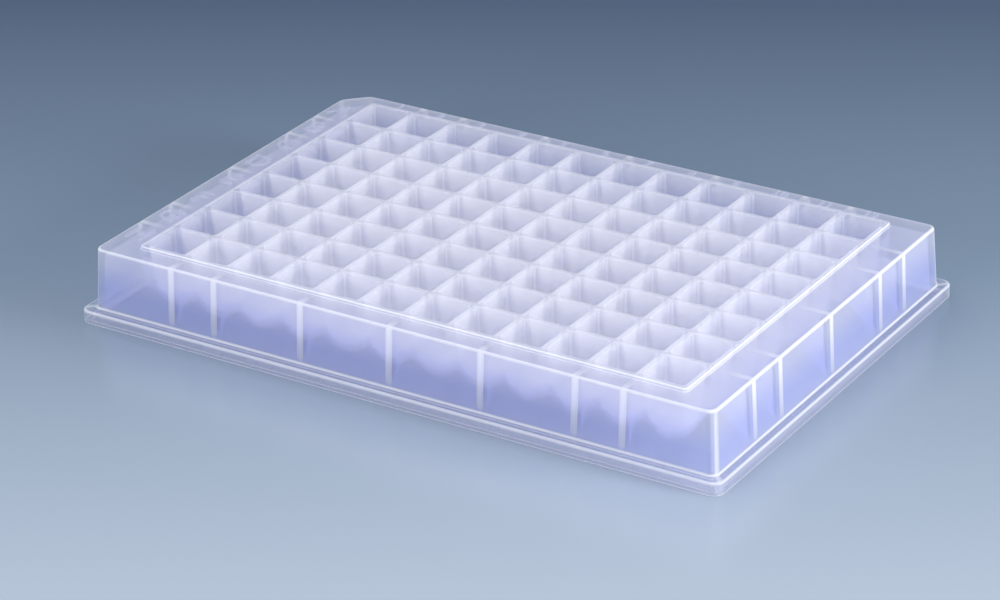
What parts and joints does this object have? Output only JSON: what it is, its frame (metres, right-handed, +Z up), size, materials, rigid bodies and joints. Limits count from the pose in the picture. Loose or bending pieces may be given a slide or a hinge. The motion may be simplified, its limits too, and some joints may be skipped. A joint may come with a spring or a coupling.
{
  "type": "well plate",
  "caption": "One-piece microplate of natural polypropylene: square wells with round bottoms in a low rectangular skirt on a flanged foot, ribbed inside, one corner cut off as a key.",
  "frame": {"origin": "centre of the footprint, on the surface that the plate stands on", "axes": "+X along the rows, from column 1 to column 12; +Y towards row A; +Z up, out of the wells. Well A1 is at -X, +Y"},
  "size_m": [0.1278, 0.0854, 0.0143],
  "materials": {
    "polypropylene": "satin"
  },
  "bodies": {
    "root": {"well_plate": "polypropylene"}
  },
  "joints": []
}
